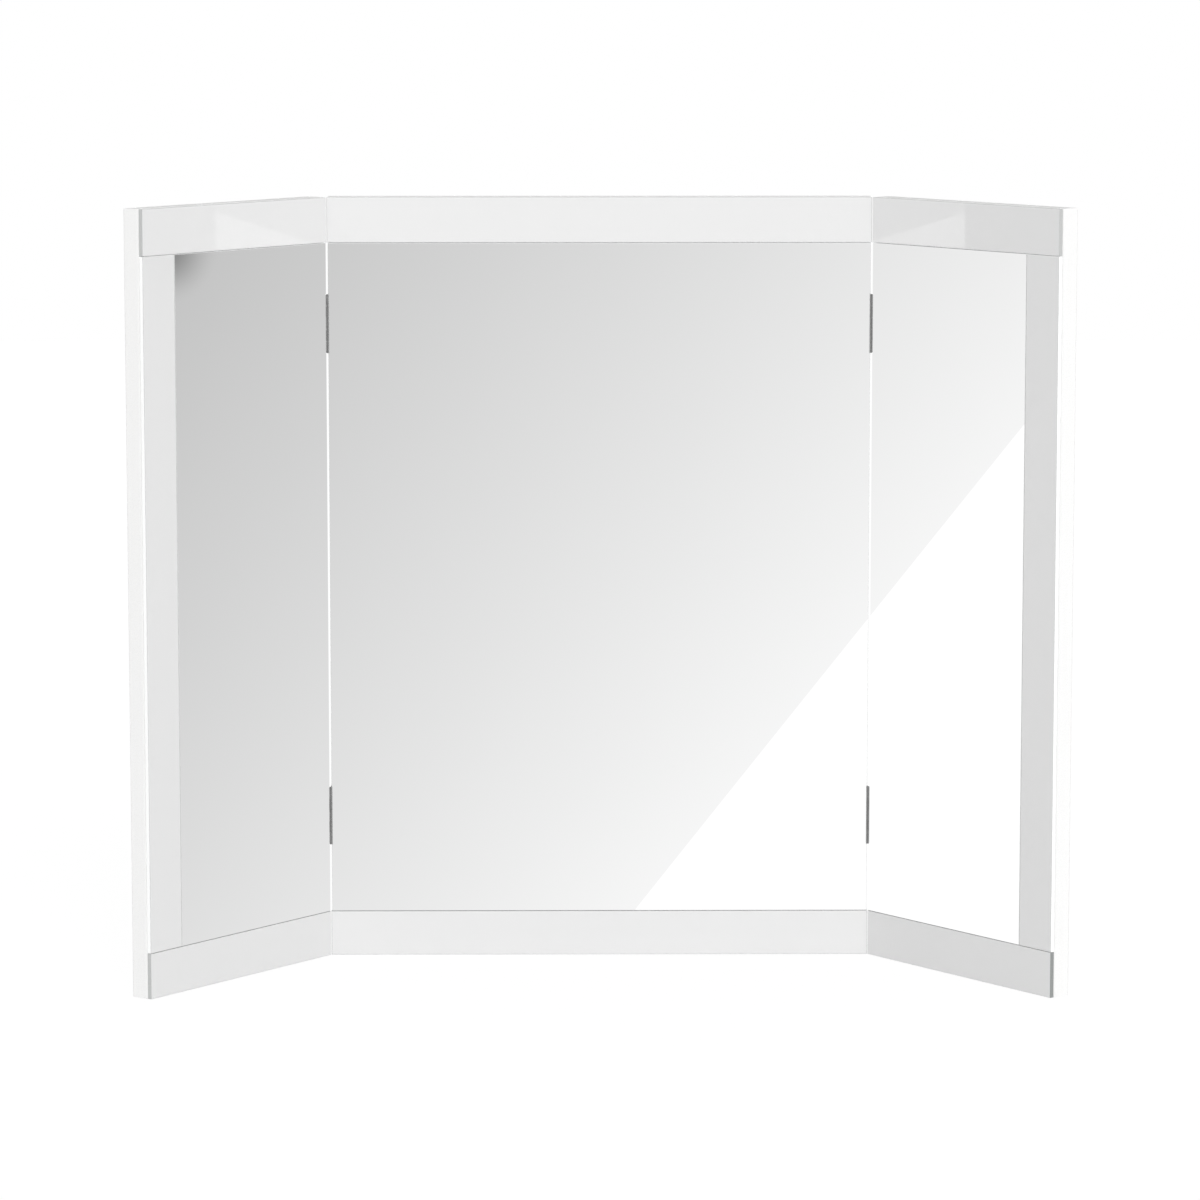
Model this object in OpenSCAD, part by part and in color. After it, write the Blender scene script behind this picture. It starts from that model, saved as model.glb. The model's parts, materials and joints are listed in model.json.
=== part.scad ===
// Three-part dressing table mirror: a centre panel and two wings that fold over it.
// X runs across, Y from the front to the back, Z up. The origin is the middle of the
// centre panel's bottom face. The wings are drawn half folded, as they stand in use.

/* [Panels] */
// Height of the three panels
panel_h = 706; // [600:1:800]
// Width of the centre panel
centre_w = 498; // [400:1:600]
// Gap between the two wings when both are shut
meet_gap = 2; // [1:0.5:6]
// Fold of each wing, from flat towards the front
fold = 52.3; // [0:0.1:120]

/* [Boards] */
// Thickness of the boards
board_t = 18; // [16:0.5:22]
// Thickness of the edging round the boards
edging_t = 2; // [1.8:0.1:3]
// Radius of the edging's long outer corners
edging_r = 1.5; // [0.5:0.1:1.7]

/* [Glass] */
// Thickness of the mirrors and of the white glass strips
glass_t = 4; // [3:0.5:6]
// Height of the white strips along the top and the bottom
rail_h = 41.5; // [40:0.5:60]
// Width of the white strip at each wing's outer edge
stile_w = 41.5; // [40:0.5:60]
// Gap between neighbouring panes
pane_gap = 0.4; // [0.2:0.1:1]
// How far the panes stay back from the top, bottom and outer edges
glass_setback = 0.3; // [0.1:0.1:1]
// How far the mirrors stay back from the panels' edges at the hinges
hinge_setback = 0.1; // [0.1:0.1:0.5]
// Gap between the rails of neighbouring panels when the wing is flat
rail_meet = 0.3; // [0.2:0.1:1]
// Width of the ground arris round the front of every pane
arris = 0.25; // [0.1:0.05:0.5]

/* [Tape] */
// Thickness of the double-sided tape behind the panes
tape_t = 0.5; // [0.3:0.1:2]
// Width of the tape
tape_w = 36; // [25:1:38]
// Distance of a strip of tape from the edge of its pane
tape_inset = 3; // [1:0.25:6]
// Strips of tape behind the centre mirror
centre_strips = 5; // [3:1:7]
// Strips of tape behind each wing's mirror
wing_strips = 3; // [2:1:4]

/* [Hinges] */
// Height of one hinge with its pin
hinge_h = 54; // [45:1:70]
// Distance from the panel's top down to the middle of the upper hinge
upper_hinge_drop = 116; // [90:1:160]
// Distance from the panel's bottom up to the middle of the lower hinge
lower_hinge_rise = 132; // [90:1:160]
// Thickness of a leaf
leaf_t = 0.6; // [0.5:0.1:0.8]
// Gap between the two leaves of a hinge when the wing is flat
leaf_play = 0.4; // [0.3:0.1:0.8]
// Depth of the board's edge that a leaf covers
leaf_seat = 15; // [12:0.5:15.5]
// Distance of the hinge axis in front of the panes
axis_proud = 0.35; // [0.25:0.05:0.5]
// Knuckles on one hinge, an odd number
knuckles = 5; // [3:2:7]
// Gap between neighbouring knuckles
knuckle_gap = 0.3; // [0.2:0.05:0.5]
// Diameter of the hinge pin
pin_d = 1; // [0.8:0.1:1.2]
// Running clearance round the pin
pin_clear = 0.05; // [0.02:0.01:0.08]
// Diameter of the heads that close the pin
pin_head_d = 2; // [1.6:0.1:2.2]
// Height of a pin head
pin_head_t = 0.5; // [0.4:0.1:0.8]
// Width of the wide arris that clears the knuckles
relief = 0.8; // [0.7:0.05:1]
// How far the wide arris runs past the hinge at each end
relief_end = 0.5; // [0.3:0.1:1]

/* [Screws] */
// Screws in one leaf
screws_per_leaf = 3; // [2:1:4]
// Distance of the end screws from the leaf's ends
screw_margin = 8; // [6:0.5:10]
// Diameter of a screw's shank
screw_d = 2.5; // [2:0.1:3]
// Diameter of a screw's countersunk head
screw_head_d = 5; // [4.4:0.1:6]
// Length of a screw with its head
screw_l = 16; // [12:1:20]
// Length of a screw's point
screw_tip_l = 3; // [2:0.5:5]
// Diameter of the blunt end of the point
screw_tip_d = 0.5; // [0.3:0.1:1]
// Clearance round a screw in its hole
screw_clear = 0.05; // [0.02:0.01:0.1]
// Width of the slots of the cross recess
cross_w = 0.5; // [0.4:0.1:0.7]
// Length of the slots of the cross recess
cross_l = 2.6; // [2:0.1:3]
// Depth of the cross recess
cross_depth = 0.6; // [0.4:0.1:0.8]

/* [Hidden] */
$fn = 48;
over = 1;

// Depths of the layers, from the front to the back
panel_t = glass_t + tape_t + board_t;
glass_y = -panel_t / 2;
tape_y = glass_y + glass_t;
board_y = tape_y + tape_t;
back_y = board_y + board_t;

// The right hinge axis. The left one is its mirror image.
axis_gap = leaf_t + leaf_play / 2;
axis_x = centre_w / 2 + axis_gap;
axis_y = glass_y - axis_proud;

// A wing, drawn flat beside the right end of the centre panel
wing_w = (centre_w - meet_gap) / 2;
wing_x0 = axis_x + axis_gap;
wing_x1 = wing_x0 + wing_w;
centre_x0 = -centre_w / 2;
centre_x1 = centre_w / 2;

// Heights of the mirrors
mirror_z0 = rail_h + pane_gap;
mirror_z1 = panel_h - mirror_z0;

// The hinges
knuckle_r = pin_d / 2 + pin_clear + leaf_t;
barrel_h = hinge_h - 2 * pin_head_t;
knuckle_h = (barrel_h - (knuckles - 1) * knuckle_gap) / knuckles;
knuckle_step = knuckle_h + knuckle_gap;
leaf_depth = board_y + leaf_seat - axis_y;
seat_y = board_y + leaf_seat / 2;
upper_hinge_z = panel_h - upper_hinge_drop - hinge_h / 2;
lower_hinge_z = lower_hinge_rise - hinge_h / 2;
hinge_zs = [lower_hinge_z, upper_hinge_z];
screw_step = (barrel_h - 2 * screw_margin) / (screws_per_leaf - 1);
head_h = (screw_head_d - screw_d) / 2;

// Puts a right-hand shape on the side asked for: 1 is right, -1 is left
module on_side(side) {
    if (side < 0) mirror([1, 0, 0]) children();
    else children();
}

// Folds a wing that is drawn flat on the right, and puts it on its side
module on_wing(side) {
    on_side(side)
        translate([axis_x, axis_y, 0])
            rotate([0, 0, -fold])
                translate([-axis_x, -axis_y, 0])
                    children();
}

// A rectangle with four round corners
module round_rect(x0, x1, y0, y1, r) {
    union() {
        translate([x0 + r, y0]) square([x1 - x0 - 2 * r, y1 - y0]);
        translate([x0, y0 + r]) square([x1 - x0, y1 - y0 - 2 * r]);
        for (x = [x0 + r, x1 - r], y = [y0 + r, y1 - r])
            translate([x, y]) circle(r);
    }
}

// A panel's board with its edging on, all long outer corners round
module edged_panel(x0, x1) {
    intersection() {
        linear_extrude(panel_h)
            round_rect(x0, x1, board_y, back_y, edging_r);
        translate([x0, 0, 0])
            rotate([90, 0, 90])
                linear_extrude(x1 - x0)
                    round_rect(board_y, back_y, 0, panel_h, edging_r);
    }
}

// One length of edging: the part of the edged panel between two corners
module edging(x0, x1, from, to) {
    intersection() {
        edged_panel(x0, x1);
        translate([from.x, board_y - over, from.y])
            cube([to.x - from.x, board_t + 2 * over, to.y - from.y]);
    }
}

// The edging along the left or the right edge, over the full height
module side_edging(x0, x1, right) {
    from_x = right ? x1 - edging_t : x0;
    edging(x0, x1, [from_x, 0], [from_x + edging_t, panel_h]);
}

// The edging along the top or the bottom, between the two side edgings
module end_edging(x0, x1, top) {
    from_z = top ? panel_h - edging_t : 0;
    edging(x0, x1, [x0 + edging_t, from_z], [x1 - edging_t, from_z + edging_t]);
}

module board(x0, x1) {
    translate([x0 + edging_t, board_y, edging_t])
        cube([x1 - x0 - 2 * edging_t, board_t, panel_h - 2 * edging_t]);
}

// A pane's outline across one direction, with its two front corners ground
module ground_profile(a0, a1) {
    polygon([
        [a0, glass_y + arris], [a0 + arris, glass_y],
        [a1 - arris, glass_y], [a1, glass_y + arris],
        [a1, tape_y], [a0, tape_y]
    ]);
}

// A pane of glass with an arris round its front
module pane(x0, x1, z0, z1) {
    intersection() {
        translate([0, 0, z0])
            linear_extrude(z1 - z0)
                ground_profile(x0, x1);
        translate([x0, 0, 0])
            rotate([90, 0, 90])
                linear_extrude(x1 - x0)
                    polygon([
                        [glass_y, z0 + arris], [glass_y + arris, z0],
                        [tape_y, z0], [tape_y, z1],
                        [glass_y + arris, z1], [glass_y, z1 - arris]
                    ]);
    }
}

// The wide arris at each hinge. way is -1 where the glass lies to the left of its edge.
module hinge_relief(edge_x, way) {
    for (z = hinge_zs)
        translate([0, 0, z - relief_end])
            linear_extrude(hinge_h + 2 * relief_end)
                polygon([
                    [edge_x + way * (relief + over), glass_y - over],
                    [edge_x - way * over, glass_y - over],
                    [edge_x - way * over, glass_y + relief + over]
                ]);
}

// The white strip of glass along the top or the bottom of a panel
module rail(x0, x1, top) {
    if (top) pane(x0, x1, panel_h - rail_h, panel_h - glass_setback);
    else pane(x0, x1, glass_setback, rail_h);
}

// An upright strip of tape that starts at X = 0
module upright_strip() {
    translate([0, tape_y, mirror_z0 + tape_inset])
        cube([tape_w, tape_t, mirror_z1 - mirror_z0 - 2 * tape_inset]);
}

// Upright strips of tape, spread evenly behind a mirror
module upright_strips(x0, x1, count) {
    step = (x1 - x0 - 2 * tape_inset - tape_w) / (count - 1);
    for (i = [0 : count - 1])
        translate([x0 + tape_inset + i * step, 0, 0]) upright_strip();
}

// The strip of tape along a rail, laid from the rail's outer edge
module rail_strip(x0, x1, top) {
    edge_z = glass_setback + tape_inset;
    translate([x0 + tape_inset, tape_y, top ? panel_h - edge_z - tape_w : edge_z])
        cube([x1 - x0 - 2 * tape_inset, tape_t, tape_w]);
}

// Height of screw number i over the bottom of its hinge
function screw_z(i) = pin_head_t + screw_margin + i * screw_step;

// A countersunk screw, its head flush with the plane X = 0 and its point along +X
module screw_shape(clear) {
    shank_r = screw_d / 2 + clear;
    shank_l = screw_l - screw_tip_l;
    rotate([0, 90, 0]) {
        cylinder(h = head_h, r1 = screw_head_d / 2 + clear, r2 = shank_r);
        cylinder(h = shank_l, r = shank_r);
        translate([0, 0, shank_l])
            cylinder(h = screw_tip_l, r1 = shank_r, r2 = screw_tip_d / 2 + clear);
    }
}

// Places children at the screws of both hinges of one side, as they lie when the wing
// is flat. way is 1 for the wing's leaves and -1 for the centre's.
module at_screws(way) {
    for (z = hinge_zs, i = [0 : screws_per_leaf - 1])
        translate([axis_x + way * leaf_play / 2, seat_y, z + screw_z(i)])
            on_side(way) children();
}

module screws(way) {
    at_screws(way)
        difference() {
            screw_shape(0);
            for (turn = [0, 90])
                rotate([turn, 0, 0])
                    translate([-over, -cross_w / 2, -cross_l / 2])
                        cube([over + cross_depth, cross_w, cross_l]);
        }
}

module screw_holes(way) {
    at_screws(way) {
        screw_shape(screw_clear);
        translate([-over, 0, 0])
            rotate([0, 90, 0])
                cylinder(h = over, r = screw_head_d / 2 + screw_clear);
    }
}

// One leaf with its knuckles, as it lies when the wing is flat. way is 1 for the wing's
// leaf, which has the odd knuckles, and -1 for the centre's, which has the even ones.
module leaf(way, z) {
    first = way > 0 ? 1 : 0;
    plate_y = knuckle_r + knuckle_gap;
    color("dimgray")
        difference() {
            translate([axis_x, axis_y, z + pin_head_t])
                on_side(way) {
                    translate([leaf_play / 2, plate_y, 0])
                        cube([leaf_t, leaf_depth - plate_y, barrel_h]);
                    for (i = [first : 2 : knuckles - 1])
                        translate([0, 0, i * knuckle_step]) {
                            cylinder(h = knuckle_h, r = knuckle_r);
                            translate([leaf_play / 2, 0, 0])
                                cube([leaf_t, plate_y + leaf_t, knuckle_h]);
                        }
                }
            translate([axis_x, axis_y, z])
                cylinder(h = hinge_h, r = pin_d / 2 + pin_clear);
            screw_holes(way);
        }
}

// A hinge pin with its two heads
module pin(z) {
    color("gray")
        translate([axis_x, axis_y, z]) {
            cylinder(h = hinge_h, r = pin_d / 2);
            cylinder(h = pin_head_t, r = pin_head_d / 2);
            translate([0, 0, hinge_h - pin_head_t])
                cylinder(h = pin_head_t, r = pin_head_d / 2);
        }
}

// Pieces of the centre panel

module centre_board() {
    color("white")
        difference() {
            board(centre_x0, centre_x1);
            for (side = [-1, 1]) on_side(side) screw_holes(-1);
        }
}

module centre_top_edging() {
    color("white") end_edging(centre_x0, centre_x1, true);
}

module centre_bottom_edging() {
    color("white") end_edging(centre_x0, centre_x1, false);
}

module centre_side_edging(side) {
    color("white")
        on_side(side)
            difference() {
                side_edging(centre_x0, centre_x1, true);
                screw_holes(-1);
            }
}

module centre_left_edging() { centre_side_edging(-1); }
module centre_right_edging() { centre_side_edging(1); }

module centre_mirror() {
    edge = centre_x1 - hinge_setback;
    color("silver")
        difference() {
            pane(-edge, edge, mirror_z0, mirror_z1);
            for (side = [-1, 1]) on_side(side) hinge_relief(edge, -1);
        }
}

module centre_rail(top) {
    edge = axis_x - rail_meet / 2;
    color("whitesmoke") rail(-edge, edge, top);
}

module centre_top_rail() { centre_rail(true); }
module centre_bottom_rail() { centre_rail(false); }

module centre_mirror_tape() {
    color("lightgray") upright_strips(centre_x0, centre_x1, centre_strips);
}

module centre_rail_tape() {
    color("lightgray")
        for (top = [false, true]) rail_strip(centre_x0, centre_x1, top);
}

// Pieces of a wing. side is -1 for the left wing and 1 for the right one.

module wing_board(side) {
    color("white")
        on_wing(side)
            difference() {
                board(wing_x0, wing_x1);
                screw_holes(1);
            }
}

module wing_end_edging(side, top) {
    color("white") on_wing(side) end_edging(wing_x0, wing_x1, top);
}

module wing_outer_edging(side) {
    color("white") on_wing(side) side_edging(wing_x0, wing_x1, true);
}

module wing_hinge_edging(side) {
    color("white")
        on_wing(side)
            difference() {
                side_edging(wing_x0, wing_x1, false);
                screw_holes(1);
            }
}

module wing_mirror(side) {
    edge = wing_x0 + hinge_setback;
    color("silver")
        on_wing(side)
            difference() {
                pane(edge, wing_x1 - stile_w - pane_gap, mirror_z0, mirror_z1);
                hinge_relief(edge, 1);
            }
}

module wing_rail(side, top) {
    color("whitesmoke")
        on_wing(side) rail(axis_x + rail_meet / 2, wing_x1 - glass_setback, top);
}

module wing_stile(side) {
    color("whitesmoke")
        on_wing(side) pane(wing_x1 - stile_w, wing_x1 - glass_setback, mirror_z0, mirror_z1);
}

module wing_mirror_tape(side) {
    color("lightgray")
        on_wing(side) upright_strips(wing_x0, wing_x1 - stile_w - pane_gap, wing_strips);
}

module wing_trim_tape(side) {
    stile_edge = wing_x1 - glass_setback;
    color("lightgray")
        on_wing(side) {
            for (top = [false, true]) rail_strip(wing_x0, stile_edge, top);
            translate([stile_edge - tape_inset - tape_w, 0, 0])
                upright_strip();
        }
}

module left_board() { wing_board(-1); }
module left_top_edging() { wing_end_edging(-1, true); }
module left_bottom_edging() { wing_end_edging(-1, false); }
module left_outer_edging() { wing_outer_edging(-1); }
module left_hinge_edging() { wing_hinge_edging(-1); }
module left_mirror() { wing_mirror(-1); }
module left_top_rail() { wing_rail(-1, true); }
module left_bottom_rail() { wing_rail(-1, false); }
module left_stile() { wing_stile(-1); }
module left_mirror_tape() { wing_mirror_tape(-1); }
module left_trim_tape() { wing_trim_tape(-1); }

module right_board() { wing_board(1); }
module right_top_edging() { wing_end_edging(1, true); }
module right_bottom_edging() { wing_end_edging(1, false); }
module right_outer_edging() { wing_outer_edging(1); }
module right_hinge_edging() { wing_hinge_edging(1); }
module right_mirror() { wing_mirror(1); }
module right_top_rail() { wing_rail(1, true); }
module right_bottom_rail() { wing_rail(1, false); }
module right_stile() { wing_stile(1); }
module right_mirror_tape() { wing_mirror_tape(1); }
module right_trim_tape() { wing_trim_tape(1); }

// The hinges and their screws

module upper_left_centre_leaf() { on_side(-1) leaf(-1, upper_hinge_z); }
module upper_left_wing_leaf() { on_wing(-1) leaf(1, upper_hinge_z); }
module upper_left_pin() { on_side(-1) pin(upper_hinge_z); }
module lower_left_centre_leaf() { on_side(-1) leaf(-1, lower_hinge_z); }
module lower_left_wing_leaf() { on_wing(-1) leaf(1, lower_hinge_z); }
module lower_left_pin() { on_side(-1) pin(lower_hinge_z); }
module upper_right_centre_leaf() { on_side(1) leaf(-1, upper_hinge_z); }
module upper_right_wing_leaf() { on_wing(1) leaf(1, upper_hinge_z); }
module upper_right_pin() { on_side(1) pin(upper_hinge_z); }
module lower_right_centre_leaf() { on_side(1) leaf(-1, lower_hinge_z); }
module lower_right_wing_leaf() { on_wing(1) leaf(1, lower_hinge_z); }
module lower_right_pin() { on_side(1) pin(lower_hinge_z); }

module centre_screws() {
    color("gray")
        for (side = [-1, 1]) on_side(side) screws(-1);
}

module left_wing_screws() { color("gray") on_wing(-1) screws(1); }
module right_wing_screws() { color("gray") on_wing(1) screws(1); }

centre_board();
centre_top_edging();
centre_bottom_edging();
centre_left_edging();
centre_right_edging();
centre_mirror();
centre_top_rail();
centre_bottom_rail();
centre_mirror_tape();
centre_rail_tape();
left_board();
left_top_edging();
left_bottom_edging();
left_outer_edging();
left_hinge_edging();
left_mirror();
left_top_rail();
left_bottom_rail();
left_stile();
left_mirror_tape();
left_trim_tape();
right_board();
right_top_edging();
right_bottom_edging();
right_outer_edging();
right_hinge_edging();
right_mirror();
right_top_rail();
right_bottom_rail();
right_stile();
right_mirror_tape();
right_trim_tape();
upper_left_centre_leaf();
upper_left_wing_leaf();
upper_left_pin();
lower_left_centre_leaf();
lower_left_wing_leaf();
lower_left_pin();
upper_right_centre_leaf();
upper_right_wing_leaf();
upper_right_pin();
lower_right_centre_leaf();
lower_right_wing_leaf();
lower_right_pin();
centre_screws();
left_wing_screws();
right_wing_screws();
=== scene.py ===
"""The looks of the three-part dressing table mirror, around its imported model. Lengths are metres."""

import json
import math

import bmesh
import bpy
from mathutils import Matrix, Vector


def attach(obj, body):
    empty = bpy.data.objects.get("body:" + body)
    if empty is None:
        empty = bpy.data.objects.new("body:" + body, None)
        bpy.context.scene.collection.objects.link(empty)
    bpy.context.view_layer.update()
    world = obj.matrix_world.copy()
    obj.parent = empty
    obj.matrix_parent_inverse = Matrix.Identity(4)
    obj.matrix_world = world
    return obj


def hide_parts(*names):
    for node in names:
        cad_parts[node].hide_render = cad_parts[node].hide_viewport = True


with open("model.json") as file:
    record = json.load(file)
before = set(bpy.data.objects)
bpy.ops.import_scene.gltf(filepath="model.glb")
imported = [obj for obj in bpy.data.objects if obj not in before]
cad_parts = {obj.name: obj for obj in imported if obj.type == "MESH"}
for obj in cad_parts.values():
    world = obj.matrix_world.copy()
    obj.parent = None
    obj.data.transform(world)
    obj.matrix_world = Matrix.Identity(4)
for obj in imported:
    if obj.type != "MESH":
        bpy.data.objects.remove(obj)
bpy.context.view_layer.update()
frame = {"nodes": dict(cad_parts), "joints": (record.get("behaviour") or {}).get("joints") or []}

MM = 0.001

FRONT = Vector((0, -1, 0))
RIGHT = Vector((1, 0, 0))
UP = Vector((0, 0, 1))

# The camera looks at the middle of the centre panel from a little above it. Its lens is in
# millimetres, and its angles are degrees.
CAMERA_PLACE = (-0.0348, -4.6141, 0.9504)
CAMERA_YAW = 0.44
CAMERA_PITCH = 7.628
CAMERA_LENS = 150.63

# The light. 1 would make a white surface that faces it full white. A lamp's light points towards
# the lamp and is as long as it is strong. Softness is how wide the lamp looks, in degrees.
AMBIENT = 0.692
KEY_LIGHT = (0.082, -0.345, 0.26)
KEY_SOFTNESS = 30.0
BACK_LIGHT = (0.0, 0.25, 0.05)
BACK_SOFTNESS = 20.0

# The floor glows to the camera alone, so that it looks white with a trace of shadow.
FLOOR_HALF = 7.0
FLOOR_DROP = 0.2 * MM
FLOOR_GREY = 0.592
FLOOR_GLOW = 1.055
GLOW_SHARE = 0.9

# What the mirrors show: a grey card that gets lighter to the right and downwards, cut off by a
# white panel with a slanting edge. Angles are degrees and slopes are rise over distance.
CARD_GREY = 0.7901
CARD_PER_DEGREE = 0.018
CARD_PER_SLOPE = -0.8228
CARD_POWER = 2.2
CARD_EDGES = (10.0, 14.0)
CARD_FOOT = (-0.3, -0.4)
PANEL_EDGE_SLOPE = -0.2161
PANEL_EDGE_PER_DEGREE = 0.0223
PANEL_WHITE = 1.03

# The wings show what lies further round from the front than this, in degrees.
WING_TURN = 90.0

# The shade over the outer top corner of the card that the left mirror shows.
FLAG_PLACE = (-4.506, -0.063)
FLAG_SIZE = (0.62, 0.0116)
FLAG_DEPTH = 0.6

# Over the cards the top strips see a plain wall, and beside each wing a lamp with a slanting top.
CARD_TOP = -0.0619
CARD_MIDDLE = 0.432
CARD_TOP_BEND = 3.113
CARD_TOP_FALL = -0.0012
WALL = 0.85
WALL_TOP = (0.12, 0.2)
LAMP_MIDDLE = 0.329
LAMP_HALF = 4.263
LAMP_FOOT = 3.2
LAMP_RISE = 0.00557
LAMP_LEFT = 1.07
LAMP_RIGHT = 1.6
HALO_LEFT = 0.25
HALO_RIGHT = 0.6

# The rest of the studio: leaning grey screens, each with a white panel at its right. A screen
# gets lighter to the right and downwards.
SCREEN_PITCH = 30.0
SCREEN_START = 20.9
SCREEN_PER_SLOPE = -44.8
SCREEN_GREY = 0.36
SCREEN_RISE = 0.45
SCREEN_SHARE = 0.74
SCREEN_WHITE = 0.9

# It gets dark behind the mirror.
BEHIND = (135.0, 160.0)
BEHIND_DARK = 0.7

# A tall white box on each side. Only the satin surfaces show it, not the mirrors.
BOX_EDGES = (61.0, 88.0)
BOX_HEIGHT = (-0.6, 0.9)
BOX_SOFTNESS = (3.0, 0.1)
BOX_LEFT = 2.0
BOX_RIGHT = 2.3

# The least level part of a ray, so that no slope is endless, and the slope past which the screens
# lean no further.
LEAST_LEVEL = 0.0001
STEEPEST = 1.0

# How near the corners of a pane's triangles lie to become one, and how flat the triangles meet
# to become one side.
MERGE_WITHIN = 0.01 * MM
FLAT_WITHIN = math.radians(0.5)

# A side of a pane takes a finish if the cosine between its normal and the finish's direction is
# more than this: the flat side alone, or its arris as well.
SQUARE = 0.99
SLANTED = 0.6

# The colour sockets of a Mix node. It has others by the same names.
MIX_DARK = 6
MIX_LIGHT = 7
MIX_RESULT = 2


class Graph:
    """A node tree with short calls for the nodes that a material or the world is made of."""

    def __init__(self, tree):
        self.tree = tree
        tree.nodes.clear()

    def add(self, kind, *values, **settings):
        """Makes a node. The values are numbers or sockets for its inputs, in order."""
        made = self.tree.nodes.new(kind)
        for name, value in settings.items():
            setattr(made, name, value)
        for socket, value in zip(made.inputs, values):
            self.give(socket, value)
        return made

    def give(self, socket, value):
        """Links an input to another node's socket, or sets it. None leaves it as it is."""
        if isinstance(value, bpy.types.NodeSocket):
            self.tree.links.new(value, socket)
        elif value is not None:
            socket.default_value = value

    def math(self, operation, a, b=None, c=None):
        """What a Math node makes of one, two or three values."""
        return self.add("ShaderNodeMath", a, b, c, operation=operation).outputs[0]

    def step(self, value, low, high):
        """0 below low, 1 above high and a smooth rise between. Low may be the larger."""
        made = self.add(
            "ShaderNodeMapRange", value, low, high, 0.0, 1.0, interpolation_type="SMOOTHSTEP"
        )
        return made.outputs[0]

    def between(self, value, low, high):
        """Limits a value to a range."""
        return self.add("ShaderNodeClamp", value, low, high).outputs[0]

    def blend(self, amount, a, b):
        """From a to b as the amount goes from 0 to 1."""
        return self.math("MULTIPLY_ADD", amount, self.math("SUBTRACT", b, a), a)

    def inside(self, value, edges, softness):
        """1 between two edges and 0 outside them."""
        low, high = edges
        rise = self.step(value, low - softness, low + softness)
        return self.math("MULTIPLY", rise, self.step(value, high + softness, high - softness))

    def length(self, x, y):
        """The length of a flat vector."""
        square = self.math("ADD", self.math("MULTIPLY", x, x), self.math("MULTIPLY", y, y))
        return self.math("SQRT", square)


def wing_turn(side):
    """The turn of a wing from flat to where it stands, and its degrees. Side is left or right."""
    joint = next(j for j in frame["joints"] if j["name"] == side + "_wing_fold")
    degrees = -joint["range_deg"][0]
    return Matrix.Rotation(math.radians(degrees), 4, Vector(joint["axis"])), abs(degrees)


def make_camera():
    """The camera, in front of the mirror."""
    camera = bpy.data.objects.new("camera", bpy.data.cameras.new("camera"))
    bpy.context.scene.collection.objects.link(camera)
    camera.location = CAMERA_PLACE
    camera.rotation_euler = (math.radians(90 - CAMERA_PITCH), 0, math.radians(-CAMERA_YAW))
    camera.data.lens = CAMERA_LENS
    bpy.context.scene.camera = camera


def make_lamp(name, light, softness):
    """A large soft lamp. No reflection shows it."""
    lamp = bpy.data.objects.new(name, bpy.data.lights.new(name, "SUN"))
    bpy.context.scene.collection.objects.link(lamp)
    light = Vector(light)
    lamp.rotation_euler = light.to_track_quat("Z", "Y").to_euler()
    lamp.data.energy = math.pi * light.length
    lamp.data.angle = math.radians(softness)
    lamp.visible_glossy = False


def seen_direction(g):
    """A reflected ray's turn from the front in degrees, left below 0, and its slope."""
    ray = g.add("ShaderNodeTexCoord").outputs["Generated"]
    x, y, z = g.add("ShaderNodeSeparateXYZ", ray).outputs
    slope = g.math("DIVIDE", z, g.math("MAXIMUM", g.length(x, y), LEAST_LEVEL))
    turn = g.math("DEGREES", g.math("ARCTAN2", x, g.math("MULTIPLY", y, -1.0)))
    return turn, slope


def reflected_cards(g, turn, across, slope):
    """The brightness of the card and its white panel. Across is degrees from the card's middle."""
    grey = g.math("MULTIPLY_ADD", across, CARD_PER_DEGREE, CARD_GREY)
    grey = g.math("MULTIPLY_ADD", slope, CARD_PER_SLOPE, grey)
    grey = g.math("POWER", grey, CARD_POWER)
    edge = g.math("MULTIPLY_ADD", across, PANEL_EDGE_PER_DEGREE, PANEL_EDGE_SLOPE)
    card = g.blend(g.math("LESS_THAN", slope, edge), grey, PANEL_WHITE)

    flag_x = g.math("DIVIDE", g.math("SUBTRACT", across, FLAG_PLACE[0]), FLAG_SIZE[0])
    flag_y = g.math("DIVIDE", g.math("SUBTRACT", slope, FLAG_PLACE[1]), FLAG_SIZE[1])
    shade = g.math("MULTIPLY", g.step(g.length(flag_x, flag_y), 1.0, 0.0), FLAG_DEPTH)
    shade = g.math("MULTIPLY", shade, g.math("GREATER_THAN", turn, WING_TURN))
    return g.math("MULTIPLY", card, g.math("SUBTRACT", 1.0, shade))


def reflected_wall(g, turn, across, slope):
    """The brightness over the cards: a wall, and for each wing a lamp with a halo."""
    aside = g.math("ABSOLUTE", g.math("SUBTRACT", across, LAMP_MIDDLE))
    top = g.math("MULTIPLY_ADD", g.math("SUBTRACT", aside, LAMP_FOOT), LAMP_RISE, CARD_TOP)
    is_right = g.math("LESS_THAN", turn, 0.0)
    halo = g.blend(is_right, HALO_LEFT, HALO_RIGHT)
    lamp = g.blend(is_right, LAMP_LEFT, LAMP_RIGHT)
    light = g.blend(g.math("LESS_THAN", slope, top), halo, lamp)
    near = g.math("LESS_THAN", aside, LAMP_HALF)
    near = g.math("MULTIPLY", near, g.math("GREATER_THAN", g.math("ABSOLUTE", turn), WING_TURN))
    return g.math("MULTIPLY_ADD", near, light, WALL)


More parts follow.
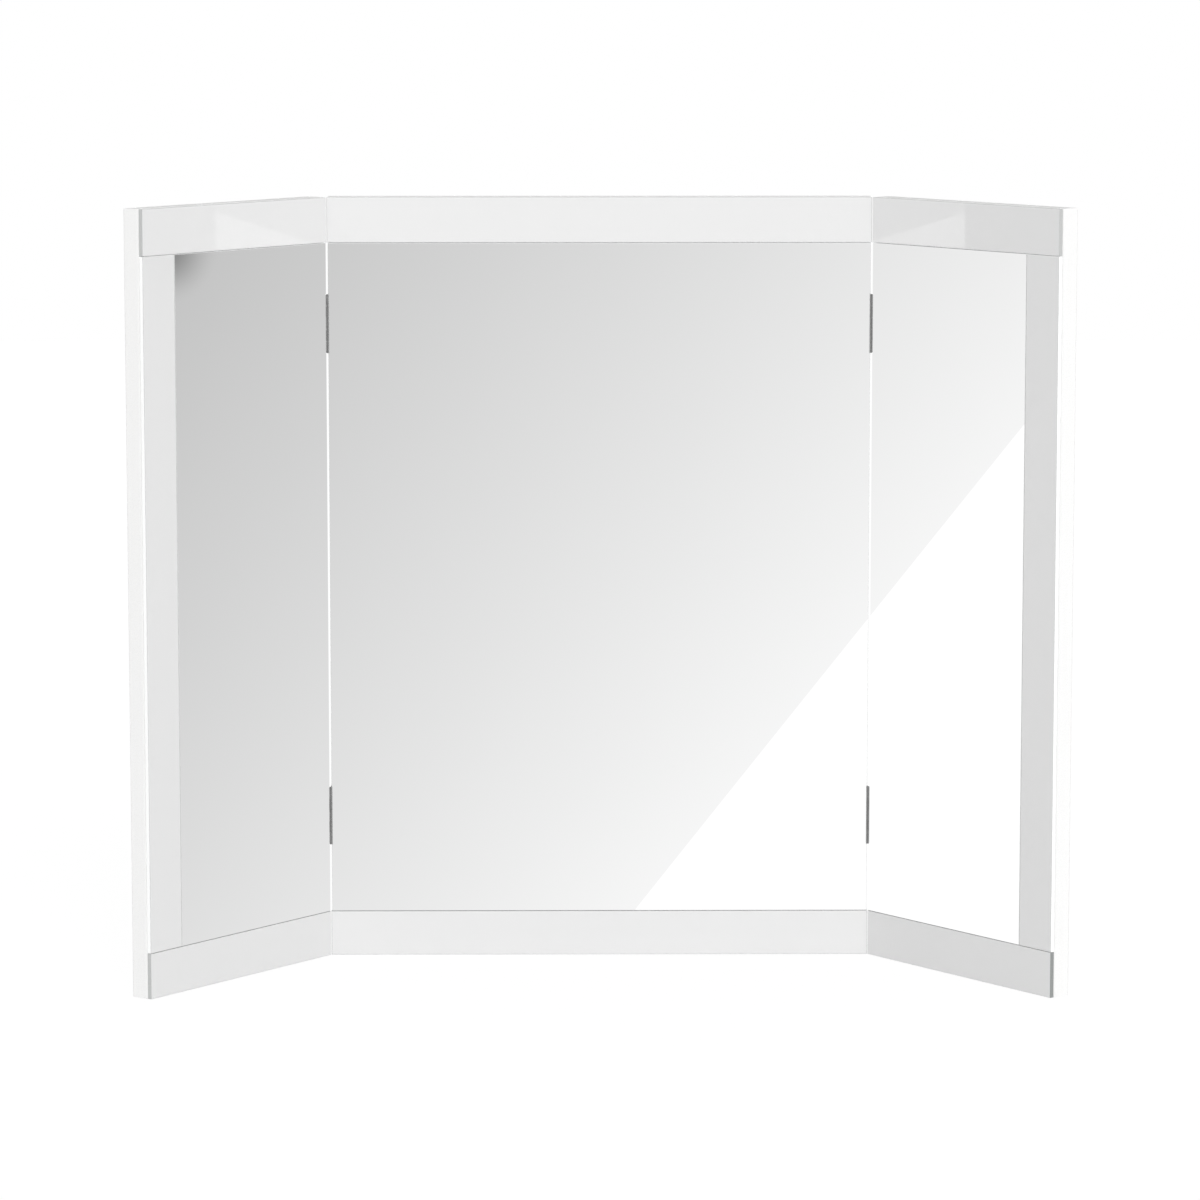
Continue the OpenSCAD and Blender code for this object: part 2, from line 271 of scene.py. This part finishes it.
def reflected_screens(g, turn, away, slope, satin):
    """The brightness of the rest of the studio. Away is degrees from the front, to either side."""
    lean = g.math("MULTIPLY_ADD", g.between(slope, -STEEPEST, STEEPEST), SCREEN_PER_SLOPE, turn)
    part = g.math("FRACT", g.math("DIVIDE", g.math("ADD", lean, SCREEN_START), SCREEN_PITCH))
    grey = g.math("MULTIPLY_ADD", part, SCREEN_RISE, SCREEN_GREY)
    screens = g.blend(g.math("GREATER_THAN", part, SCREEN_SHARE), grey, SCREEN_WHITE)

    across_box, up_box = BOX_SOFTNESS
    inside = g.math("MULTIPLY", satin, g.inside(away, BOX_EDGES, across_box))
    inside = g.math("MULTIPLY", inside, g.inside(slope, BOX_HEIGHT, up_box))
    box = g.blend(g.math("GREATER_THAN", turn, 0.0), BOX_LEFT, BOX_RIGHT)
    screens = g.blend(inside, screens, box)

    dark = g.math("MULTIPLY", g.step(away, *BEHIND), BEHIND_DARK)
    return g.math("MULTIPLY", screens, g.math("SUBTRACT", 1.0, dark))


def reflected_studio(g):
    """The brightness that a reflection shows, by its direction.

    The centre mirror shows the card in front. Each wing shows one beside and a little behind,
    and both carry on the front card, as if it were one. Only a surface that isn't mirror smooth
    shows the wall, the lamps and the boxes.
    """
    turn, slope = seen_direction(g)
    away = g.math("ABSOLUTE", turn)
    _, fold = wing_turn("left")
    is_side = g.math("GREATER_THAN", away, fold)
    from_middle = g.math("SUBTRACT", away, g.math("MULTIPLY", is_side, 2 * fold))
    across = g.math("MULTIPLY", g.math("SIGN", turn), from_middle)

    aside = g.math("ABSOLUTE", g.math("SUBTRACT", across, CARD_MIDDLE))
    fall = g.math("MAXIMUM", g.math("SUBTRACT", aside, CARD_TOP_BEND), 0.0)
    top = g.math("MULTIPLY_ADD", fall, CARD_TOP_FALL, CARD_TOP)
    mirrored = g.add("ShaderNodeLightPath").outputs["Is Singular Ray"]
    satin = g.math("SUBTRACT", 1.0, mirrored)
    over = g.math("MULTIPLY", satin, g.math("GREATER_THAN", slope, top))
    cards = reflected_cards(g, turn, across, slope)
    near = g.blend(over, cards, reflected_wall(g, turn, across, slope))

    past = g.step(g.math("ABSOLUTE", across), *CARD_EDGES)
    past = g.math("MAXIMUM", past, g.step(slope, *WALL_TOP))
    past = g.math("MAXIMUM", past, g.step(slope, *CARD_FOOT))
    return g.blend(past, near, reflected_screens(g, turn, away, slope, satin))


def make_world():
    """White to the camera, even light on the object, and the studio in reflections."""
    world = bpy.data.worlds.new("studio")
    world.use_nodes = True
    bpy.context.scene.world = world
    g = Graph(world.node_tree)
    rays = g.add("ShaderNodeLightPath").outputs
    lit = g.add("ShaderNodeBackground", (1, 1, 1, 1), AMBIENT).outputs[0]
    seen = g.add("ShaderNodeBackground", (1, 1, 1, 1), 1.0).outputs[0]
    reflected = g.add("ShaderNodeBackground", (1, 1, 1, 1), reflected_studio(g)).outputs[0]
    shown = g.add("ShaderNodeMixShader", rays["Is Glossy Ray"], lit, reflected).outputs[0]
    shown = g.add("ShaderNodeMixShader", rays["Is Camera Ray"], shown, seen).outputs[0]
    g.add("ShaderNodeOutputWorld", shown)


def new_material(name):
    """A material with one Principled shader. Gives the material, its graph and its shader."""
    material = bpy.data.materials.new(name)
    material.use_nodes = True
    g = Graph(material.node_tree)
    shader = g.add("ShaderNodeBsdfPrincipled")
    g.add("ShaderNodeOutputMaterial", shader.outputs[0])
    return material, g, shader


def object_noise(g, scale, detail=3.0, stretch=(1, 1, 1)):
    """Noise fixed to the piece. Scale is features in a metre; stretch scales it along each axis."""
    place = g.add("ShaderNodeTexCoord").outputs["Object"]
    place = g.add("ShaderNodeVectorMath", place, stretch, operation="MULTIPLY").outputs[0]
    noise = g.add("ShaderNodeTexNoise")
    g.give(noise.inputs["Vector"], place)
    g.give(noise.inputs["Scale"], scale)
    g.give(noise.inputs["Detail"], detail)
    return noise.outputs[0]


def coloured(g, shader, amount, dark, light):
    """Gives a shader a colour from dark to light as the amount goes from 0 to 1."""
    mix = g.add("ShaderNodeMix", data_type="RGBA")
    g.give(mix.inputs["Factor"], amount)
    g.give(mix.inputs[MIX_DARK], (*dark, 1))
    g.give(mix.inputs[MIX_LIGHT], (*light, 1))
    g.give(shader.inputs["Base Color"], mix.outputs[MIX_RESULT])


def varied(g, shader, name, amount, low, high):
    """Gives a shader's input a value from low to high as the amount goes from 0 to 1."""
    value = g.add("ShaderNodeMapRange", amount, 0, 1, low, high).outputs[0]
    g.give(shader.inputs[name], value)


def bumped(g, shader, height, distance):
    """Gives a shader a bump. Distance is how high it is where the height is 1."""
    bump = g.add("ShaderNodeBump")
    g.give(bump.inputs["Strength"], 1.0)
    g.give(bump.inputs["Distance"], distance)
    g.give(bump.inputs["Height"], height)
    g.give(shader.inputs["Normal"], bump.outputs[0])


def mirror_silver():
    """Silvered float glass, seen from its front: a clean reflection with the least of a haze."""
    material, g, shader = new_material("mirror_silver")
    haze = object_noise(g, scale=9.0, detail=4.0)
    coloured(g, shader, haze, dark=(0.985, 0.987, 0.986), light=(0.995, 0.996, 0.995))
    shader.inputs["Metallic"].default_value = 1.0
    shader.inputs["Roughness"].default_value = 0.0
    return material


def white_strip():
    """Float glass painted white on its back: even white under a smooth clear surface."""
    material, g, shader = new_material("white_strip")
    cloud = object_noise(g, scale=14.0, detail=4.0)
    coloured(g, shader, cloud, dark=(0.87, 0.871, 0.871), light=(0.884, 0.884, 0.883))
    varied(g, shader, "Roughness", cloud, low=0.42, high=0.5)
    shader.inputs["Specular IOR Level"].default_value = 0.0
    shader.inputs["Coat Weight"].default_value = 1.0
    shader.inputs["Coat Roughness"].default_value = 0.01
    return material


def painted_highlight_edge():
    """The polished edge of clear glass. Its near-white colour and touch of metal paint a highlight
    along it.
    """
    material, g, shader = new_material("painted_highlight_edge")
    streak = object_noise(g, scale=60.0, stretch=(1, 1, 0.05))
    coloured(g, shader, streak, dark=(0.92, 0.93, 0.925), light=(0.965, 0.97, 0.968))
    varied(g, shader, "Metallic", streak, low=0.1, high=0.15)
    varied(g, shader, "Roughness", streak, low=0.12, high=0.2)
    return material


def ground_edge(name, dark, light):
    """A ground and matt edge of clear glass, a shade green. Some copies are darker, as painted shade,
    and one lighter, as painted light.
    """
    material, g, shader = new_material(name)
    grit = object_noise(g, scale=900.0, detail=2.0)
    coloured(g, shader, grit, dark, light)
    varied(g, shader, "Roughness", grit, low=0.35, high=0.6)
    bumped(g, shader, grit, distance=0.02 * MM)
    return material


def backing_paint():
    """The grey paint on the back of the silver."""
    material, g, shader = new_material("backing_paint")
    speck = object_noise(g, scale=400.0)
    coloured(g, shader, speck, dark=(0.33, 0.35, 0.36), light=(0.42, 0.44, 0.45))
    varied(g, shader, "Roughness", speck, low=0.5, high=0.7)
    return material


def white_board():
    """White foil on board, with a fine pearl in its surface."""
    material, g, shader = new_material("white_board")
    pearl = object_noise(g, scale=850.0)
    cloud = object_noise(g, scale=6.0)
    coloured(g, shader, cloud, dark=(0.9, 0.9, 0.895), light=(0.93, 0.93, 0.925))
    varied(g, shader, "Roughness", pearl, low=0.38, high=0.55)
    bumped(g, shader, pearl, distance=0.06 * MM)
    return material


def white_edging():
    """White plastic edging, smoother than the foil, its own white raised a touch as painted highlight.
    """
    material, g, shader = new_material("white_edging")
    grain = object_noise(g, scale=1500.0, detail=2.0)
    cloud = object_noise(g, scale=25.0)
    coloured(g, shader, cloud, dark=(0.975, 0.975, 0.97), light=(0.99, 0.99, 0.985))
    varied(g, shader, "Roughness", grain, low=0.22, high=0.34)
    bumped(g, shader, grain, distance=0.015 * MM)
    return material


def bonding_tape():
    """Matt double-sided foam tape, its pale grey darkened as painted shade for the line between edging
    and glass.
    """
    material, g, shader = new_material("bonding_tape")
    foam = object_noise(g, scale=1800.0, detail=2.0)
    coloured(g, shader, foam, dark=(0.55, 0.55, 0.54), light=(0.7, 0.7, 0.69))
    shader.inputs["Roughness"].default_value = 0.9
    bumped(g, shader, foam, distance=0.08 * MM)
    return material


def rolled_steel(name, dark, light, roughness, lines):
    """Grey steel with fine lines up and down. Lines is how many cross a metre."""
    material, g, shader = new_material(name)
    brushed = object_noise(g, scale=lines, stretch=(1, 1, 0.02))
    worn = object_noise(g, scale=120.0, detail=4.0)
    coloured(g, shader, g.math("MULTIPLY", brushed, worn), dark=(dark,) * 3, light=(light,) * 3)
    varied(g, shader, "Roughness", brushed, *roughness)
    shader.inputs["Metallic"].default_value = 1.0
    bumped(g, shader, brushed, distance=0.01 * MM)
    return material


def dress(ending, material):
    """Gives a material to the CAD pieces whose names have the ending."""
    for name, piece in frame["nodes"].items():
        if name.endswith(ending):
            piece.data.materials.clear()
            piece.data.materials.append(material)


def glass_piece(node, body, rest, finishes):
    """A pane made from its CAD shape: merged to whole faces, each with the finish of its side.

    Each finish has a direction, how squarely a side must face it, and a material. A side takes
    the first that fits. A side that none fits takes the rest's material.
    """
    mesh = frame["nodes"][node].data.copy()
    mesh.materials.clear()
    for _, _, material in finishes:
        mesh.materials.append(material)
    mesh.materials.append(rest)
    shape = bmesh.new()
    shape.from_mesh(mesh)
    bmesh.ops.remove_doubles(shape, verts=shape.verts, dist=MERGE_WITHIN)
    bmesh.ops.dissolve_limit(
        shape, angle_limit=FLAT_WITHIN, verts=shape.verts, edges=shape.edges, delimit={"NORMAL"}
    )
    bmesh.ops.recalc_face_normals(shape, faces=shape.faces)
    for side in shape.faces:
        side.smooth = False
        fits = [side.normal.dot(way) > least for way, least, _ in finishes]
        side.material_index = (fits + [True]).index(True)
    shape.to_mesh(mesh)
    shape.free()
    piece = bpy.data.objects.new(node + "_pane", mesh)
    bpy.context.scene.collection.objects.link(piece)
    piece.visible_glossy = False
    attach(piece, body)
    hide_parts(node)


def floor_white():
    """A pale floor that the camera sees as white, with a trace of the object's shadow."""
    material = bpy.data.materials.new("floor_white")
    material.use_nodes = True
    g = Graph(material.node_tree)
    camera = g.add("ShaderNodeLightPath").outputs["Is Camera Ray"]
    matt = g.add("ShaderNodeBsdfDiffuse", (*(FLOOR_GREY,) * 3, 1)).outputs[0]
    glow = g.add("ShaderNodeEmission", (1, 1, 1, 1), FLOOR_GLOW).outputs[0]
    share = g.math("MULTIPLY", camera, GLOW_SHARE)
    g.add("ShaderNodeOutputMaterial", g.add("ShaderNodeMixShader", share, matt, glow).outputs[0])
    return material


def make_floor(material):
    """The floor, a hair under the mirror. No reflection shows it."""
    mesh = bpy.data.meshes.new("floor")
    shape = bmesh.new()
    bmesh.ops.create_grid(shape, x_segments=1, y_segments=1, size=FLOOR_HALF)
    bmesh.ops.translate(shape, verts=shape.verts, vec=(0, 0, -FLOOR_DROP))
    shape.to_mesh(mesh)
    shape.free()
    mesh.materials.append(material)
    floor = bpy.data.objects.new("floor", mesh)
    bpy.context.scene.collection.objects.link(floor)
    floor.visible_glossy = False


make_camera()
make_lamp("key_light", KEY_LIGHT, KEY_SOFTNESS)
make_lamp("back_light", BACK_LIGHT, BACK_SOFTNESS)
make_world()
make_floor(floor_white())

silver = mirror_silver()
strip = white_strip()
paint = backing_paint()
polished = painted_highlight_edge()
end = ground_edge("ground_end", dark=(0.52, 0.53, 0.525), light=(0.64, 0.65, 0.645))
# Painted shade: the rim copy greys the top strips' top edges and the edges at the bottom joints and
# underneath.
rim = ground_edge("painted_shade_rim", dark=(0.42, 0.43, 0.425), light=(0.52, 0.53, 0.525))
seam = ground_edge("ground_seam", dark=(0.7, 0.71, 0.705), light=(0.78, 0.79, 0.785))
# Painted light: the bright copy whitens the edges in the top joints against the shade that falls
# there.
bright = ground_edge("painted_light_edge", dark=(0.95, 0.96, 0.955), light=(0.97, 0.98, 0.975))
# Painted shade: the darkest copy, for the shade in the gaps at the strips' hinge ends and on the right
# wing's low outer end.
painted_shade_end = ground_edge("painted_shade_end", dark=(0.27, 0.285, 0.28), light=(0.33, 0.345, 0.34))

# The centre's mirror and its two strips.
faces = [(FRONT, SQUARE, silver), (-FRONT, SQUARE, paint)]
# Painted light on the centre mirror's top edge.
glass_piece("centre_mirror", "centre", seam, faces + [(UP, SLANTED, bright)])
faces = [(FRONT, SQUARE, strip), (-FRONT, SQUARE, strip)]
# Painted shade on both hinge ends of the centre's strips.
ends = [(RIGHT, SLANTED, painted_shade_end), (-RIGHT, SLANTED, painted_shade_end)]
# Painted shade from the rim copy on these edges; painted light from the bright copy under the top
# strips.
top_edges = [(UP, SQUARE, rim), (-UP, SLANTED, bright)]
bottom_edges = [(UP, SQUARE, rim), (-UP, SQUARE, rim)]
glass_piece("centre_top_rail", "centre", seam, faces + ends + top_edges)
glass_piece("centre_bottom_rail", "centre", seam, faces + ends + bottom_edges)

# Each wing's mirror and its three strips. The end that the right wing's bottom strip shows is
# darker than the left wing's: painted shade.
for side, way, low_end in (("left", -RIGHT, end), ("right", RIGHT, painted_shade_end)):
    turn, _ = wing_turn(side)
    front, out = turn @ FRONT, turn @ way
    wing = side + "_wing"
    faces = [(front, SQUARE, silver), (-front, SQUARE, paint)]
    # Painted light from the bright copy on the top edges, painted shade from the rim copy underneath.
    edges = [(UP, SLANTED, bright), (-UP, SQUARE, rim)]
    glass_piece(side + "_mirror", wing, seam, faces + edges)
    faces = [(front, SQUARE, strip), (-front, SQUARE, strip)]
    # Painted highlight on the stile's outer edge.
    outer = [(out, SQUARE, polished), (out, SLANTED, end)]
    glass_piece(side + "_stile", wing, seam, faces + outer + edges)
    # Painted shade on each wing strip's hinge end.
    ends = [(out, SLANTED, end), (-out, SLANTED, painted_shade_end)]
    glass_piece(side + "_top_rail", wing, seam, faces + ends + top_edges)
    ends = [(out, SLANTED, low_end), (-out, SLANTED, painted_shade_end)]
    glass_piece(side + "_bottom_rail", wing, seam, faces + ends + bottom_edges)

# No reflection shows the pieces: the mirrors show the studio alone.
for piece in frame["nodes"].values():
    piece.visible_glossy = False

dress("_board", white_board())
# The edging's white is raised a touch to paint a highlight along its rounded corner.
dress("_edging", white_edging())
# The tape's grey is darkened as painted shade.
dress("_tape", bonding_tape())
leaf_steel = rolled_steel("hinge_steel", dark=0.19, light=0.42, roughness=(0.3, 0.5), lines=2500.0)
pin_steel = rolled_steel("pin_steel", dark=0.2, light=0.6, roughness=(0.2, 0.35), lines=4000.0)
screw_steel = rolled_steel("screw_steel", dark=0.35, light=0.75, roughness=(0.25, 0.4), lines=3000.0)
dress("_leaf", leaf_steel)
dress("_pin", pin_steel)
dress("_screws", screw_steel)

bpy.context.scene.view_settings.view_transform = "Standard"
